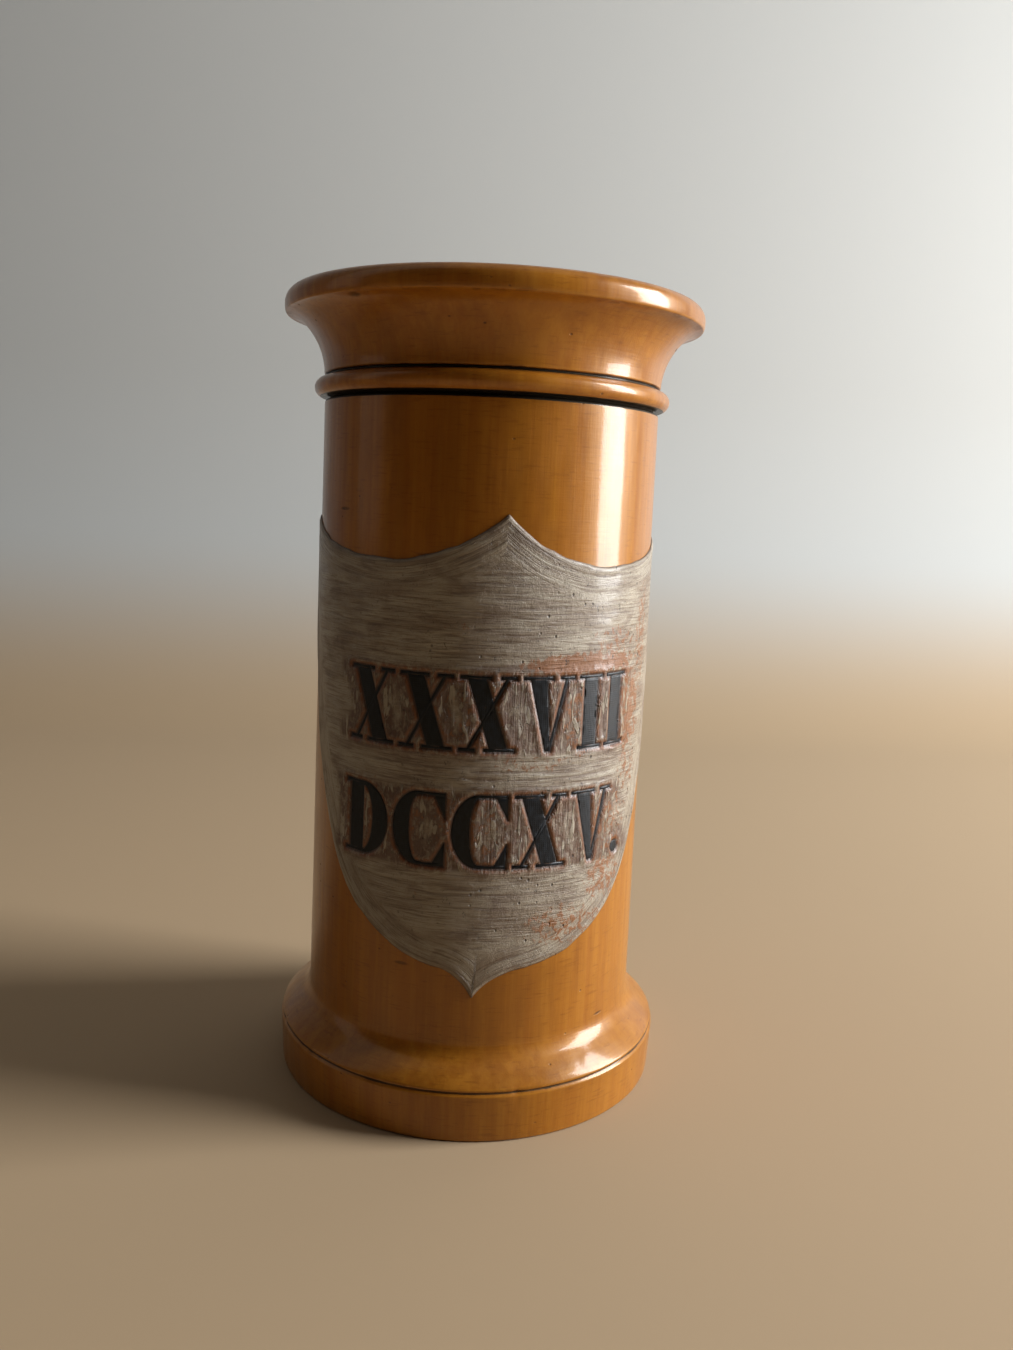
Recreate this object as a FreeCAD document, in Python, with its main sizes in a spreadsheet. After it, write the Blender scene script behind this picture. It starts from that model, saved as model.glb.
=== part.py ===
import FreeCAD, Part
import math
import os
import Sketcher
from FreeCAD import Placement, Rotation, Vector

Vector2d = FreeCAD.Base.Vector2d

# A turned wooden apothecary jar. The jar body is one turning: a moulded foot, a slightly
# tapering wall and a rebated neck. The lid is a second turning that drops over the neck.
# On the front of the wall lies a painted shield, a raised film of paint, and on the shield
# two rows of painted numerals. The origin is the centre of the face the jar stands on,
# +Z is up the lathe axis, and the shield faces -Y. All sizes are in millimetres.

SIZES = (
    # foot of the jar body
    ("foot_radius", 50.4),
    ("foot_chamfer", 0.4),
    ("plinth_radius", 50.95),
    ("plinth_height", 11.8),
    ("ledge_radius", 50.45),
    ("ledge_height", 12.3),
    ("quirk_radius", 50.25),
    ("quirk_height", 12.5),
    ("slope_radius", 50.6),
    ("slope_height", 12.9),
    ("slope_edge_radius", 50.37),
    ("slope_edge_height", 13.47),
    ("slope_edge_arc", 0.8),
    ("slope_arc", 32.4),
    ("cove_radius", 45.99),
    ("cove_height", 17.28),
    ("cove_arc", 6.0),
    # wall and neck of the jar body
    ("wall_foot_radius", 43.46),
    ("wall_foot_height", 22.24),
    ("wall_top_radius", 42.4),
    ("shoulder_height", 173.0),
    ("shoulder_arc", 0.7),
    ("neck_radius", 38.3),
    ("neck_height", 185.0),
    ("neck_chamfer", 0.5),
    # inside of the jar body
    ("mouth_radius", 35.0),
    ("bore_radius", 34.5),
    ("floor_height", 14.0),
    ("floor_arc", 6.0),
    # lid, from its lower edge up
    ("lid_gap", 0.1),
    ("lid_fit", 0.3),
    ("lid_edge_radius", 41.6),
    ("bead_radius", 43.3),
    ("bead_low_height", 173.4),
    ("bead_high_height", 178.2),
    ("bead_arc", 2.5),
    ("groove_radius", 41.7),
    ("groove_height", 178.75),
    ("lid_cove_radius", 42.6),
    ("lid_cove_height", 179.25),
    ("lid_cove_arc", 17.5),
    ("flare_radius", 47.94),
    ("flare_height", 191.6),
    ("flare_arc", 6.8),
    ("lip_radius", 51.8),
    ("lip_height", 193.42),
    ("lip_line_radius", 51.95),
    ("lip_line_height", 193.3),
    ("rim_low_radius", 52.25),
    ("rim_low_height", 193.5),
    ("rim_low_arc", 4.5),
    ("rim_radius", 52.5),
    ("rim_height", 195.3),
    ("rim_high_height", 195.6),
    ("top_height", 199.0),
    ("top_land_radius", 49.1),
    ("dish_radius", 45.6),
    ("dish_arc", 7.0),
    ("dish_floor_radius", 41.5),
    ("dish_floor_height", 197.3),
    # inside of the lid
    ("socket_height", 185.7),
    ("recess_radius", 33.0),
    ("recess_height", 191.0),
    ("recess_arc", 2.5),
    # painted shield: half widths are measured round the wall; the hand-drawn tip leans
    # to the left of the middle and the peak to the right
    ("paint_thickness", 0.25),
    ("shield_tip_lean", 2.2),
    ("shield_tip_height", 32.8),
    ("shield_flare_width", 11.3),
    ("shield_flare_height", 40.3),
    ("shield_flare_arc", 14.0),
    ("shield_belly_width", 45.0),
    ("shield_belly_height", 67.5),
    ("shield_belly_arc", 48.0),
    ("shield_ear_width", 65.0),
    ("shield_ear_height", 144.5),
    ("shield_flank_arc", 190.0),
    ("shield_dip_width", 27.0),
    ("shield_dip_height", 136.0),
    ("shield_dip_arc", 91.0),
    ("shield_apex_lean", 1.5),
    ("shield_apex_height", 147.3),
    ("shield_apex_arc", 39.0),
    # painted numerals
    ("numeral_thickness", 0.12),
    ("numeral_height", 17.6),
    ("numeral_gap", 1.6),
    ("stem_width", 4.1),
    ("hairline_width", 0.7),
    ("serif_reach", 1.5),
    ("wide_numeral", 12.9),
    ("beak_width", 3.0),
    ("beak_length", 5.8),
    ("stop_radius", 1.5),
    ("upper_row_height", 93.0),
    ("lower_row_height", 65.1),
)

UPPER_ROW = "XXXVII"
LOWER_ROW = "DCCXV."
CURVE_SAMPLES = 17
OFFSET_TOLERANCE = 0.001


def size_sheet(doc):
    """The driving dimensions, one aliased cell each."""
    sheet = doc.addObject("Spreadsheet::Sheet", "Sizes")
    for row, (alias, value) in enumerate(SIZES, start=1):
        sheet.set(f"A{row}", alias)
        sheet.set(f"B{row}", str(value))
        sheet.setAlias(f"B{row}", alias)
    doc.recompute()
    return sheet


def origin_plane(body, role):
    """The body's own origin plane with the given role."""
    for feature in body.Origin.OriginFeatures:
        if feature.Role == role:
            return feature
    raise RuntimeError("no origin plane " + role)


def arc_middle(start, end, radius, side):
    """Middle point of the arc from start to end; side is +1 to bulge right of the chord."""
    chord = end - start
    half = chord.Length / 2
    sagitta = radius - math.sqrt(max(radius * radius - half * half, 0))
    normal = Vector(chord.y, -chord.x, 0).normalize()
    return (start + end) / 2 + normal * (side * sagitta)


def pin_point(sketch, index, end, radius_name, height_name):
    """Hold one end of a sketch edge at a radius and a height from the sheet."""
    if radius_name is None:
        sketch.addConstraint(Sketcher.Constraint("PointOnObject", index, end, -2))
    else:
        value = sketch.evalExpression(radius_name)
        row = sketch.addConstraint(
            Sketcher.Constraint("DistanceX", -1, 1, index, end, float(value)))
        sketch.setExpression(f"Constraints[{row}]", radius_name)
    if height_name is None:
        sketch.addConstraint(Sketcher.Constraint("PointOnObject", index, end, -1))
    else:
        value = sketch.evalExpression(height_name)
        row = sketch.addConstraint(
            Sketcher.Constraint("DistanceY", -1, 1, index, end, float(value)))
        sketch.setExpression(f"Constraints[{row}]", height_name)


def half_outline(body, label, corners):
    """A closed half outline on the XZ plane.

    Each corner is (radius, height) as sheet expressions, None for zero. A corner with two
    more entries is reached by an arc of that radius, bulging to side +1 (right) or -1.
    """
    sketch = body.newObject("Sketcher::SketchObject", label)
    sketch.AttachmentSupport = [(origin_plane(body, "XZ_Plane"), "")]
    sketch.MapMode = "FlatFace"

    def place(corner):
        radius = 0 if corner[0] is None else float(sketch.evalExpression(corner[0]))
        height = 0 if corner[1] is None else float(sketch.evalExpression(corner[1]))
        return Vector(radius, height, 0)

    points = [place(corner) for corner in corners]
    count = len(corners)
    for index in range(count):
        start = points[index]
        end = points[(index + 1) % count]
        target = corners[(index + 1) % count]
        if len(target) == 2:
            sketch.addGeometry(Part.LineSegment(start, end), False)
        else:
            radius = float(sketch.evalExpression(target[2]))
            middle = arc_middle(start, end, radius, target[3])
            sketch.addGeometry(Part.Arc(start, middle, end), False)
    for index in range(count):
        start_end, end_end = edge_ends(sketch, index, points[index])
        following = (index + 1) % count
        next_start, _ = edge_ends(sketch, following, points[following])
        sketch.addConstraint(
            Sketcher.Constraint("Coincident", index, end_end, following, next_start))
        pin_point(sketch, index, start_end, corners[index][0], corners[index][1])
        target = corners[following]
        if len(target) > 2:
            row = sketch.addConstraint(
                Sketcher.Constraint("Radius", index, float(sketch.evalExpression(target[2]))))
            sketch.setExpression(f"Constraints[{row}]", target[2])
    return sketch


def edge_ends(sketch, index, start):
    """Which of a sketch edge's two ends, 1 or 2, lies at start, and the other one."""
    first = sketch.getPoint(index, 1)
    second = sketch.getPoint(index, 2)
    if (first - start).Length <= (second - start).Length:
        return 1, 2
    return 2, 1


def turned_body(doc, name, corners):
    """A body revolved about its own Z axis from a half outline."""
    body = doc.addObject("PartDesign::Body", name)
    body.Label = name
    sketch = half_outline(body, name + "_outline", corners)
    turning = body.newObject("PartDesign::Revolution", name + "_turning")
    turning.Profile = sketch
    turning.ReferenceAxis = (sketch, ["V_Axis"])
    turning.Angle = 360
    return body


def cell(name):
    """Expression that reads one cell of the sheet."""
    return "Sizes." + name


def make_jar_body(doc):
    """Foot, wall, rebated neck and bored inside of the jar, in one turning."""
    corners = (
        (None, None),
        (cell("foot_radius") + " - Sizes.foot_chamfer", None),
        (cell("foot_radius"), cell("foot_chamfer")),
        (cell("plinth_radius"), cell("plinth_height")),
        (cell("ledge_radius"), cell("ledge_height")),
        (cell("quirk_radius"), cell("quirk_height")),
        (cell("slope_radius"), cell("slope_height")),
        (cell("slope_edge_radius"), cell("slope_edge_height"), cell("slope_edge_arc"), 1),
        (cell("cove_radius"), cell("cove_height"), cell("slope_arc"), 1),
        (cell("wall_foot_radius"), cell("wall_foot_height"), cell("cove_arc"), -1),
        (cell("wall_top_radius"), "Sizes.shoulder_height - Sizes.shoulder_arc"),
        ("Sizes.wall_top_radius - Sizes.shoulder_arc", cell("shoulder_height"),
         cell("shoulder_arc"), 1),
        (cell("neck_radius"), cell("shoulder_height")),
        (cell("neck_radius"), "Sizes.neck_height - Sizes.neck_chamfer"),
        ("Sizes.neck_radius - Sizes.neck_chamfer", cell("neck_height")),
        ("Sizes.mouth_radius + Sizes.neck_chamfer", cell("neck_height")),
        (cell("mouth_radius"), "Sizes.neck_height - Sizes.neck_chamfer"),
        (cell("bore_radius"), "Sizes.floor_height + Sizes.floor_arc"),
        ("Sizes.bore_radius - Sizes.floor_arc", cell("floor_height"), cell("floor_arc"), -1),
        (None, cell("floor_height")),
    )
    return turned_body(doc, "jar_body", corners)


def make_lid(doc):
    """Bead, groove, flared cove, lipped rim and dished top of the lid, bored for the neck."""
    low = "Sizes.shoulder_height + Sizes.lid_gap"
    socket = "Sizes.neck_radius + Sizes.lid_fit"
    corners = (
        (None, cell("recess_height")),
        ("Sizes.recess_radius - Sizes.recess_arc", cell("recess_height")),
        (cell("recess_radius"), "Sizes.recess_height - Sizes.recess_arc",
         cell("recess_arc"), -1),
        (cell("recess_radius"), cell("socket_height")),
        (socket, cell("socket_height")),
        (socket, low + " + Sizes.neck_chamfer"),
        (socket + " + Sizes.neck_chamfer", low),
        (cell("lid_edge_radius"), low),
        (cell("bead_radius"), cell("bead_low_height")),
        (cell("bead_radius"), cell("bead_high_height"), cell("bead_arc"), 1),
        (cell("groove_radius"), cell("groove_height")),
        (cell("lid_cove_radius"), cell("lid_cove_height")),
        (cell("flare_radius"), cell("flare_height"), cell("lid_cove_arc"), -1),
        (cell("lip_radius"), cell("lip_height"), cell("flare_arc"), -1),
        (cell("lip_line_radius"), cell("lip_line_height")),
        (cell("rim_low_radius"), cell("rim_low_height")),
        (cell("rim_radius"), cell("rim_height"), cell("rim_low_arc"), 1),
        (cell("rim_radius"), cell("rim_high_height")),
        (cell("top_land_radius"), cell("top_height"),
         "Sizes.top_height - Sizes.rim_high_height", 1),
        (cell("dish_radius"), cell("top_height")),
        (cell("dish_floor_radius"), cell("dish_floor_height"), cell("dish_arc"), -1),
        (None, cell("dish_floor_height")),
    )
    return turned_body(doc, "lid", corners)


def wall_radius(sheet, height):
    """Radius of the tapering wall at a height."""
    low = sheet.wall_foot_height
    high = sheet.shoulder_height - sheet.shoulder_arc
    along = (height - low) / (high - low)
    return sheet.wall_foot_radius + along * (sheet.wall_top_radius - sheet.wall_foot_radius)


def wall_surface(sheet, lift):
    """The wall's cone, lifted outwards, with its seam at the back of the jar."""
    low = sheet.wall_foot_height
    high = sheet.shoulder_height
    surface = Part.Cone(
        Vector(0, 0, low),
        Vector(0, 0, high),
        wall_radius(sheet, low) + lift,
        wall_radius(sheet, high) + lift)
    surface.rotate(Placement(Vector(0, 0, 0), Rotation(Vector(0, 0, 1), 180)))
    return surface


def wrap_edge(sheet, surface, edge):
    """One flat edge, width by height, laid round the wall."""
    straight = isinstance(edge.Curve, (Part.Line, Part.LineSegment))
    samples = edge.discretize(2 if straight else CURVE_SAMPLES)
    places = []
    for sample in samples:
        angle = sample.x / wall_radius(sheet, sheet.upper_row_height)
        radius = wall_radius(sheet, sample.y)
        point = Vector(radius * math.sin(angle), -radius * math.cos(angle), sample.y)
        places.append(Vector2d(*surface.parameter(point)))
    if straight:
        return Part.Geom2d.Line2dSegment(*places).toShape(surface)
    curve = Part.Geom2d.BSplineCurve2d()
    curve.interpolate(places)
    return curve.toShape(surface)


def wrap_film(sheet, surface, wire, thickness):
    """The film of paint inside one flat wire, laid round the wall."""
    edges = [wrap_edge(sheet, surface, edge) for edge in wire.OrderedEdges]
    patch = Part.Face(surface, Part.Wire(edges))
    patch.validate()
    return patch.makeOffsetShape(thickness, OFFSET_TOLERANCE, fill=True)


def wrap_face(sheet, flat_face, lift, thickness):
    """A flat face laid round the wall and thickened outwards into a film of paint."""
    surface = wall_surface(sheet, lift)
    outer = flat_face.OuterWire
    holes = [wire for wire in flat_face.Wires if not wire.isSame(outer)]
    film = wrap_film(sheet, surface, outer, thickness)
    for hole in holes:
        film = film.cut(wrap_film(sheet, surface, hole, thickness))
    return film.Solids[0]


def flat_arc(start, end, radius, side):
    """Flat circular edge between two points of the shield's outline."""
    return Part.Arc(start, arc_middle(start, end, radius, side), end).toShape()


def shield_face(sheet):
    """Flat outline of the shield: pointed foot, full belly, eared corners, two dips."""
    half = (
        (sheet.shield_flare_width, sheet.shield_flare_height, sheet.shield_flare_arc, -1),
        (sheet.shield_belly_width, sheet.shield_belly_height, sheet.shield_belly_arc, 1),
        (sheet.shield_ear_width, sheet.shield_ear_height, sheet.shield_flank_arc, 1),
        (sheet.shield_dip_width, sheet.shield_dip_height, sheet.shield_dip_arc, -1),
    )
    tip = Vector(-sheet.shield_tip_lean, sheet.shield_tip_height)
    apex = Vector(sheet.shield_apex_lean, sheet.shield_apex_height)
    edges = []
    for side in (1, -1):
        start = tip
        for width, height, radius, bulge in half:
            end = Vector(side * width, height)
            edges.append(flat_arc(start, end, radius, side * bulge))
            start = end
        edges.append(flat_arc(start, apex, sheet.shield_apex_arc, -side))
    return Part.Face(Part.Wire(Part.__sortEdges__(edges)))


def make_shield(doc, sheet):
    """The raised coat of ground paint."""
    shield = doc.addObject("Part::Feature", "shield_paint")
    shield.Label = "shield_paint"
    shield.Shape = wrap_face(sheet, shield_face(sheet), 0, sheet.paint_thickness)
    shield.Placement = Placement()
    return shield


def polygon(*points):
    """Flat face from (x, y) corners."""
    corners = [Vector(x, y) for x, y in points]
    return Part.Face(Part.makePolygon(corners + corners[:1]))


def bar(left, right, low, high):
    """Upright flat rectangle."""
    return polygon((left, low), (right, low), (right, high), (left, high))


def slanted(low_x, high_x, width, height):
    """Slanting stroke of the given level width, from the line to the cap height."""
    return polygon((low_x, 0), (low_x + width, 0), (high_x + width, height), (high_x, height))


def ring_stroke(centre_x, half_width, height, stem, hair):
    """Oval bowl whose sides are as thick as a stem and whose top and foot are hairlines."""
    centre = Vector(centre_x, height / 2)
    outer = oval(centre, half_width, height / 2)
    inner = oval(centre, half_width - stem, height / 2 - hair)
    return outer.cut(inner)


def oval(centre, half_width, half_height):
    """Flat upright ellipse."""
    shape = Part.Ellipse(Vector(0, 0, 0), half_height, half_width).toShape()
    face = Part.Face(Part.Wire(shape))
    face.Placement = Placement(centre, Rotation(Vector(0, 0, 1), 90))
    return face


def numeral_one(pen):
    """I: a stem between two serifs."""
    width = pen["stem"] + 2 * pen["serif"]
    faces = [
        bar(pen["serif"], pen["serif"] + pen["stem"], 0, pen["height"]),
        bar(0, width, 0, pen["hair"]),
        bar(0, width, pen["height"] - pen["hair"], pen["height"]),
    ]
    return faces, width


def numeral_five(pen):
    """V: a thick stroke down, a thin one up and a serif on each."""
    width = pen["wide"]
    foot = width / 2 - pen["hair"]
    top = pen["height"]
    faces = [
        polygon((foot, 0), (foot + 2 * pen["hair"], 0), (pen["serif"] + pen["stem"], top),
                (pen["serif"], top)),
        slanted(foot + pen["hair"], width - pen["serif"] - pen["hair"], pen["hair"], top),
        bar(0, pen["stem"] + 2 * pen["serif"], top - pen["hair"], top),
        bar(width - 2 * pen["serif"] - pen["hair"], width, top - pen["hair"], top),
    ]
    return faces, width


def numeral_ten(pen):
    """X: a thick diagonal crossed by a thin one, with four serifs."""
    width = pen["wide"]
    top = pen["height"]
    serif = pen["serif"]
    stem = pen["stem"]
    hair = pen["hair"]
    faces = [
        slanted(width - serif - stem, serif, stem, top),
        slanted(serif, width - serif - hair, hair, top),
        bar(0, 2 * serif + hair, 0, hair),
        bar(width - 2 * serif - stem, width, 0, hair),
        bar(0, 2 * serif + stem, top - hair, top),
        bar(width - 2 * serif - hair, width, top - hair, top),
    ]
    return faces, width


def numeral_hundred(pen):
    """C: an oval bowl opened on the right, with a pointed beak above and below."""
    width = pen["wide"]
    top = pen["height"]
    middle = width / 2
    beak = width - pen["beak_width"]
    bowl = ring_stroke(middle, middle, top, pen["stem"], pen["hair"])
    faces = [
        bowl.cut(bar(middle, width + 1, -1, top + 1)),
        bar(middle, width, top - pen["hair"], top),
        bar(middle, width, 0, pen["hair"]),
        polygon((beak, top), (width, top), (width, top - pen["beak_length"])),
        polygon((beak, 0), (width, 0), (width, pen["beak_length"])),
    ]
    return faces, width


def numeral_five_hundred(pen):
    """D: a stem with serifs and half an oval bowl."""
    width = pen["wide"]
    top = pen["height"]
    stem_right = pen["serif"] + pen["stem"]
    bowl_half = width - stem_right
    bowl = ring_stroke(stem_right, bowl_half, top, pen["stem"], pen["hair"])
    faces = [
        bowl.cut(bar(-width, stem_right, -1, top + 1)),
        bar(pen["serif"], stem_right, 0, top),
        bar(0, stem_right, 0, pen["hair"]),
        bar(0, stem_right, top - pen["hair"], top),
    ]
    return faces, width


def full_stop(pen):
    """A round point on the line."""
    radius = pen["stop"]
    disc = Part.Face(Part.Wire(Part.Circle(Vector(radius, radius), Vector(0, 0, 1),
                                           radius).toShape()))
    return [disc], 2 * radius


NUMERALS = {
    "I": numeral_one,
    "V": numeral_five,
    "X": numeral_ten,
    "C": numeral_hundred,
    "D": numeral_five_hundred,
    ".": full_stop,
}


def joined_faces(strokes):
    """Flat faces of a numeral whose overlapping strokes have been joined."""
    slabs = [stroke.extrude(Vector(0, 0, 1)) for stroke in strokes]
    block = slabs[0].multiFuse(slabs[1:]).removeSplitter() if slabs[1:] else slabs[0]
    return [face for face in block.Faces if face.BoundBox.ZMax < 0.5]


def make_row(doc, sheet, name, text, base_height):
    """One row of painted numerals, centred on the front, as separate films of paint."""
    pen = {
        "height": sheet.numeral_height,
        "stem": sheet.stem_width,
        "hair": sheet.hairline_width,
        "serif": sheet.serif_reach,
        "wide": sheet.wide_numeral,
        "beak_width": sheet.beak_width,
        "beak_length": sheet.beak_length,
        "stop": sheet.stop_radius,
    }
    drawn = [NUMERALS[sign](pen) for sign in text]
    total = sum(width for _, width in drawn) + sheet.numeral_gap * (len(text) - 1)
    cursor = -total / 2
    solids = []
    for faces, width in drawn:
        for face in joined_faces(faces):
            face.translate(Vector(cursor, base_height, 0))
            solids.append(
                wrap_face(sheet, face, sheet.paint_thickness, sheet.numeral_thickness))
        cursor += width + sheet.numeral_gap
    row = doc.addObject("Part::Feature", name)
    row.Label = name
    row.Shape = Part.makeCompound(solids)
    row.Placement = Placement()
    return row


def check_and_write(doc, sub_parts):
    """Stop on any failed object, then write one STEP file for each sub-part."""
    doc.recompute()
    for item in doc.Objects:
        if "Invalid" in item.State or "Error" in item.State:
            raise RuntimeError("failed object " + item.Label)
    os.makedirs("parts", exist_ok=True)
    for item in sub_parts:
        shape = item.Shape
        if shape.isNull() or not shape.isValid():
            raise RuntimeError("bad shape " + item.Label)
        print(item.Label, "solids", len(shape.Solids), "volume", round(shape.Volume, 2))
        shape.exportStep(os.path.join("parts", item.Label + ".step"))


def main():
    doc = FreeCAD.newDocument("apothecary_jar")
    sheet = size_sheet(doc)
    sub_parts = [
        make_jar_body(doc),
        make_lid(doc),
        make_shield(doc, sheet),
        make_row(doc, sheet, "numerals_upper", UPPER_ROW, sheet.upper_row_height),
        make_row(doc, sheet, "numerals_lower", LOWER_ROW, sheet.lower_row_height),
    ]
    check_and_write(doc, sub_parts)


main()
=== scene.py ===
import math

import bpy
import numpy as np
from mathutils import Matrix, Vector
from mathutils.geometry import delaunay_2d_cdt


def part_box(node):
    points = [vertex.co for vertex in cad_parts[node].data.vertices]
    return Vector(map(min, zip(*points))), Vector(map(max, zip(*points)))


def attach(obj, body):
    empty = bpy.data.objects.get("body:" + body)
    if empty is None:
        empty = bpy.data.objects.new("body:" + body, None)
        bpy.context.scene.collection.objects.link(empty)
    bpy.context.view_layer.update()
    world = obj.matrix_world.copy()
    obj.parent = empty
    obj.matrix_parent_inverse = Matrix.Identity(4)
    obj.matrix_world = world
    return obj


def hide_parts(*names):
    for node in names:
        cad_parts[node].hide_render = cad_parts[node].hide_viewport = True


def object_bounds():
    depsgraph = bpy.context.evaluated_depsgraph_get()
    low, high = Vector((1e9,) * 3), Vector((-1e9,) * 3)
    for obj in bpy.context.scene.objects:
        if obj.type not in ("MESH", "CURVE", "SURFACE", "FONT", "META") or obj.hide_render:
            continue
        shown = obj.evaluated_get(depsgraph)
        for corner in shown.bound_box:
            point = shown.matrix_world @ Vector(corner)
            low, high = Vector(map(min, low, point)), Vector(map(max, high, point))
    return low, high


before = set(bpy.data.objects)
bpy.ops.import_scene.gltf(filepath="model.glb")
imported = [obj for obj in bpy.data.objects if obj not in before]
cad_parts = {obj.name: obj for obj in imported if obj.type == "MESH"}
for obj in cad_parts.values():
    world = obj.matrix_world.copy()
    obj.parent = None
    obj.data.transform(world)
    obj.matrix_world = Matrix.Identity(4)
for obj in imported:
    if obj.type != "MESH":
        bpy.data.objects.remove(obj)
cad_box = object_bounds()

# ---------------------------------------------------------------- sizes
# Lengths here are millimetres and become metres in each mesh. The jar stands at the
# origin, +Z is up the lathe axis and the painted shield faces -Y.

MM = 0.001
LID_TOP = cad_box[1].z / MM
NECK_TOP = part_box("jar_body")[1].z / MM
RIM_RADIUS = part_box("lid")[1].x / MM
LID_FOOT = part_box("lid")[0].z / MM
SHOULDER = LID_FOOT - 0.1

AROUND = 320
WALL_FOOT = (43.46, 22.24)
WALL_TOP = (42.4, SHOULDER - 0.7)
FLAT_RADIUS = 42.94
PAINT = 0.26


def arc(start, end, radius, side, steps=14):
    """Points on the circle of the given radius from start to end, bulging right (+1) or left."""
    start, end = np.array(start, float), np.array(end, float)
    chord = end - start
    half = np.linalg.norm(chord) / 2
    normal = np.array((chord[1], -chord[0])) / (2 * half)
    centre = (start + end) / 2 - side * normal * math.sqrt(max(radius**2 - half**2, 0))
    first = math.atan2(*(start - centre)[::-1])
    last = math.atan2(*(end - centre)[::-1])
    turn = (last - first) * side % (2 * math.pi) * side
    angles = first + np.linspace(0, 1, steps + 1) * turn
    return centre + radius * np.stack((np.cos(angles), np.sin(angles)), 1)


def outline(*parts):
    """Corner points and arcs joined into one half outline."""
    return np.concatenate([np.atleast_2d(np.array(part, float)) for part in parts])


JAR_OUTLINE = outline(
    (0, 0),
    (50.0, 0),
    (50.4, 0.4),
    (50.95, 11.8),
    (50.45, 12.3),
    (50.25, 12.5),
    arc((50.6, 12.9), (50.37, 13.47), 0.8, 1, 6),
    arc((50.37, 13.47), (45.99, 17.28), 32.4, 1),
    arc((45.99, 17.28), WALL_FOOT, 6.0, -1),
    arc(WALL_TOP, (WALL_TOP[0] - 0.7, SHOULDER), 0.7, 1, 6),
    (38.3, SHOULDER),
    (38.3, NECK_TOP - 0.5),
    (37.8, NECK_TOP),
    (35.5, NECK_TOP),
    (35.0, NECK_TOP - 0.5),
    (34.5, 20.0),
    arc((34.5, 20.0), (28.5, 14.0), 6.0, -1),
    (0, 14.0),
)

LID_OUTLINE = outline(
    (0, 191.0),
    arc((30.5, 191.0), (33.0, 188.5), 2.5, -1, 8),
    (33.0, 185.7),
    (38.6, 185.7),
    (38.6, LID_FOOT + 0.5),
    (39.1, LID_FOOT),
    (41.1, LID_FOOT),
    (41.5, LID_FOOT + 0.55),
    arc((43.3, 173.75), (43.3, 178.2), 2.32, 1, 20),
    (41.7, 178.65),
    (41.75, 179.0),
    arc((42.6, 179.25), (47.94, 191.6), 17.5, -1, 20),
    arc((47.94, 191.6), (51.8, 193.42), 6.8, -1, 10),
    (51.95, 193.3),
    arc((52.25, 193.5), (RIM_RADIUS, 195.3), 4.5, 1, 8),
    arc((RIM_RADIUS, 195.6), (49.1, LID_TOP), LID_TOP - 195.6, 1, 12),
    (45.6, LID_TOP),
    arc((45.6, LID_TOP), (41.5, 197.3), 7.0, -1, 8),
    (0, 197.3),
)


# ---------------------------------------------------------------- small mathematics


def smooth_step(low, high, values):
    """0 below low, 1 above high and an even S between."""
    t = np.clip((values - low) / (high - low), 0, 1)
    return t * t * (3 - 2 * t)


def cloud(x, y, seed, period=None):
    """Smooth noise from -1 to 1: random heights on a unit lattice with S-shaped fills.

    With a period the pattern repeats every so many cells of x, so it closes round a jar.
    """
    size = period or 64
    heights = np.random.default_rng(seed).uniform(-1, 1, (size, 64))
    column, row = np.floor(x).astype(int), np.floor(y).astype(int)
    across, up = x - column, y - row
    across = across * across * (3 - 2 * across)
    up = up * up * (3 - 2 * up)
    near = heights[column % size, row % 64]
    right = heights[(column + 1) % size, row % 64]
    above = heights[column % size, (row + 1) % 64]
    corner = heights[(column + 1) % size, (row + 1) % 64]
    low = near + (right - near) * across
    high = above + (corner - above) * across
    return low + (high - low) * up


def worn(points, step=0.12, softness=0.22):
    """The outline walked in even steps, each point averaged with its near neighbours.

    The average is a bell of the given width in millimetres, so sharp turning marks and
    corners come out rounded as handling rounds them. The two ends stay where they are.
    """
    run = np.r_[0, np.cumsum(np.linalg.norm(np.diff(points, axis=0), axis=1))]
    even = np.linspace(0, run[-1], int(run[-1] / step))
    walked = np.stack([np.interp(even, run, points[:, k]) for k in (0, 1)], 1)
    reach = int(3 * softness / step)
    bell = np.exp(-0.5 * (np.arange(-reach, reach + 1) * step / softness) ** 2)
    bell /= bell.sum()
    padded = np.concatenate((
        2 * walked[0] - walked[reach:0:-1],
        walked,
        2 * walked[-1] - walked[-2:-reach - 2:-1],
    ))
    soft = np.stack([np.convolve(padded[:, k], bell, "valid") for k in (0, 1)], 1)
    soft[0], soft[-1] = walked[0], walked[-1]
    return soft


def thinned(points, count, turn_weight=7.0, reach=2.2):
    """count points of an outline, closer together where it turns than where it runs straight.

    Each little run counts its length over reach plus its turning times turn_weight, and
    the points kept share that sum evenly. Also returns the bend at each kept point, in
    radians per millimetre, positive where the outline bulges out.
    """
    ahead = np.diff(points, axis=0)
    length = np.linalg.norm(ahead, axis=1)
    heading = np.unwrap(np.arctan2(ahead[:, 1], ahead[:, 0]))
    bend = np.gradient(heading) / np.maximum(length, 1e-6)
    share = np.r_[0, np.cumsum(length / reach + np.abs(bend) * length * turn_weight)]
    wanted = np.linspace(0, share[-1], count)
    kept = np.stack([np.interp(wanted, share, points[:, k]) for k in (0, 1)], 1)
    return kept, np.interp(wanted, share[1:], bend)


# ---------------------------------------------------------------- meshes


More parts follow.
